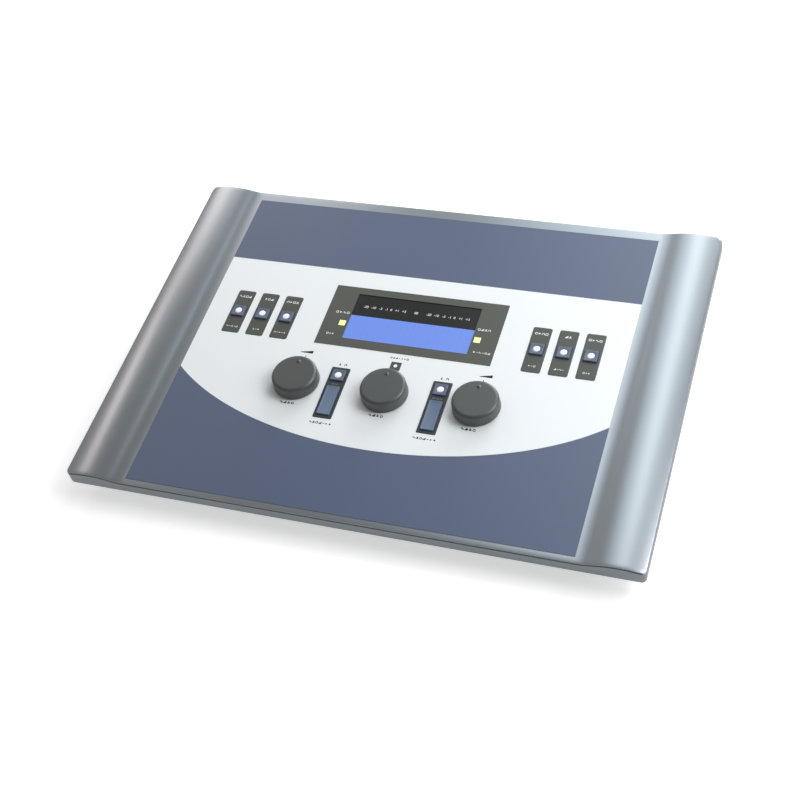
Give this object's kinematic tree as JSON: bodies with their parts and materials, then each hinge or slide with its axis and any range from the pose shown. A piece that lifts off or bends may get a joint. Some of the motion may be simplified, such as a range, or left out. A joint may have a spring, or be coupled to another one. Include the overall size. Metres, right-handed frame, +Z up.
{
  "type": "desktop audiometer",
  "caption": "Sloping desktop hearing-test console with raised side wings, a lit display window, push buttons, presentation keys, turning knobs and rear sockets.",
  "frame": {"origin": "centre of the outline on the desk plane, under the feet", "axes": "+X to the user's right, +Y towards the rear, +Z up; the controls face up and the front edge faces -Y"},
  "size_m": [0.38, 0.2662, 0.0616],
  "materials": {
    "panel_silver": "satin metallic silver paint",
    "tray_grey": "fine-textured grey moulding",
    "film_blue": "satin printed film, slate blue",
    "film_white": "satin printed film, near white",
    "trim_charcoal": "satin charcoal",
    "window_black": "smoked pane with a printed scale",
    "lcd_blue": "backlit blue liquid-crystal pane",
    "lamp_yellow": "translucent light guide, lit",
    "cap_blue": "satin blue-grey",
    "lens_white": "translucent white",
    "frame_dark": "satin near-black",
    "knob_grey": "soft satin dark grey",
    "metal_plain": "plain nickel-plated metal",
    "screw_steel": "zinc-plated steel",
    "board_green": "solder-mask green",
    "part_black": "moulded black",
    "foot_rubber": "matt rubber",
    "ribbon_grey": "flat cable grey"
  },
  "bodies": {
    "case": {"top_panel": "panel_silver", "deck_tray": "tray_grey", "film_rear": "film_blue", "film_controls": "film_white", "film_front": "film_blue", "display_bezel": "trim_charcoal", "meter_window": "window_black", "lcd_window": "lcd_blue", "lcd_module": "metal_plain", "meter_bars": "part_black", "lamp_left": "lamp_yellow", "lamp_right": "lamp_yellow", "button_plates": "trim_charcoal", "key_frame_left": "frame_dark", "key_frame_right": "frame_dark", "encoders": "metal_plain", "encoder_nuts": "metal_plain", "centre_plate": "trim_charcoal", "centre_lamp": "lens_white", "main_board": "board_green", "switches": "part_black", "board_posts": "metal_plain", "deck_screws": "screw_steel", "lower_housing": "tray_grey", "rear_panel": "tray_grey", "bottom_cover": "tray_grey", "feet": "foot_rubber", "cover_screws": "screw_steel", "audio_board": "board_green", "sockets": "part_black", "socket_nuts": "metal_plain", "power_inlet": "part_black", "data_port": "metal_plain", "power_frame": "part_black", "ribbon_cable": "ribbon_grey"},
    "button_left_outer": {"button_left_outer": "cap_blue", "lens_left_outer": "lens_white"},
    "button_left_middle": {"button_left_middle": "cap_blue", "lens_left_middle": "lens_white"},
    "button_left_inner": {"button_left_inner": "cap_blue", "lens_left_inner": "lens_white"},
    "button_right_inner": {"button_right_inner": "cap_blue", "lens_right_inner": "lens_white"},
    "button_right_middle": {"button_right_middle": "cap_blue", "lens_right_middle": "lens_white"},
    "button_right_outer": {"button_right_outer": "cap_blue", "lens_right_outer": "lens_white"},
    "talk_left": {"talk_button_left": "cap_blue", "talk_lens_left": "lens_white"},
    "talk_right": {"talk_button_right": "cap_blue", "talk_lens_right": "lens_white"},
    "present_left": {"present_key_left": "cap_blue"},
    "present_right": {"present_key_right": "cap_blue"},
    "knob_left": {"knob_left": "knob_grey", "knob_shaft_left": "metal_plain"},
    "knob_centre": {"knob_centre": "knob_grey", "knob_shaft_centre": "metal_plain"},
    "knob_right": {"knob_right": "knob_grey", "knob_shaft_right": "metal_plain"},
    "rocker": {"power_rocker": "part_black"}
  },
  "joints": [
    {"name": "press_button_left_outer", "type": "slide", "parent": "case", "child": "button_left_outer", "axis": [0, 0.1392, -0.9903], "range_m": [0, 0.001], "stiffness_N_per_m": 500, "springref_m": -0.001},
    {"name": "press_button_left_middle", "type": "slide", "parent": "case", "child": "button_left_middle", "axis": [0, 0.1392, -0.9903], "range_m": [0, 0.001], "stiffness_N_per_m": 500, "springref_m": -0.001},
    {"name": "press_button_left_inner", "type": "slide", "parent": "case", "child": "button_left_inner", "axis": [0, 0.1392, -0.9903], "range_m": [0, 0.001], "stiffness_N_per_m": 500, "springref_m": -0.001},
    {"name": "press_button_right_inner", "type": "slide", "parent": "case", "child": "button_right_inner", "axis": [0, 0.1392, -0.9903], "range_m": [0, 0.001], "stiffness_N_per_m": 500, "springref_m": -0.001},
    {"name": "press_button_right_middle", "type": "slide", "parent": "case", "child": "button_right_middle", "axis": [0, 0.1392, -0.9903], "range_m": [0, 0.001], "stiffness_N_per_m": 500, "springref_m": -0.001},
    {"name": "press_button_right_outer", "type": "slide", "parent": "case", "child": "button_right_outer", "axis": [0, 0.1392, -0.9903], "range_m": [0, 0.001], "stiffness_N_per_m": 500, "springref_m": -0.001},
    {"name": "press_talk_left", "type": "slide", "parent": "case", "child": "talk_left", "axis": [0, 0.1392, -0.9903], "range_m": [0, 0.001], "stiffness_N_per_m": 500, "springref_m": -0.001},
    {"name": "press_present_left", "type": "slide", "parent": "case", "child": "present_left", "axis": [0, 0.1392, -0.9903], "range_m": [0, 0.0012], "stiffness_N_per_m": 500, "springref_m": -0.001},
    {"name": "press_talk_right", "type": "slide", "parent": "case", "child": "talk_right", "axis": [0, 0.1392, -0.9903], "range_m": [0, 0.001], "stiffness_N_per_m": 500, "springref_m": -0.001},
    {"name": "press_present_right", "type": "slide", "parent": "case", "child": "present_right", "axis": [0, 0.1392, -0.9903], "range_m": [0, 0.0012], "stiffness_N_per_m": 500, "springref_m": -0.001},
    {"name": "turn_knob_left", "type": "hinge", "parent": "case", "child": "knob_left", "pos_m": [-0.0622, -0.03534, 0.04468], "axis": [0, -0.1392, 0.9903], "continuous": true},
    {"name": "turn_knob_centre", "type": "hinge", "parent": "case", "child": "knob_centre", "pos_m": [0, -0.03534, 0.04468], "axis": [0, -0.1392, 0.9903], "continuous": true},
    {"name": "turn_knob_right", "type": "hinge", "parent": "case", "child": "knob_right", "pos_m": [0.0622, -0.03534, 0.04468], "axis": [0, -0.1392, 0.9903], "continuous": true},
    {"name": "rock_power", "type": "hinge", "parent": "case", "child": "rocker", "pos_m": [-0.112, 0.1148, 0.026], "axis": [0, 0, -1], "range_deg": [0, 16]}
  ]
}
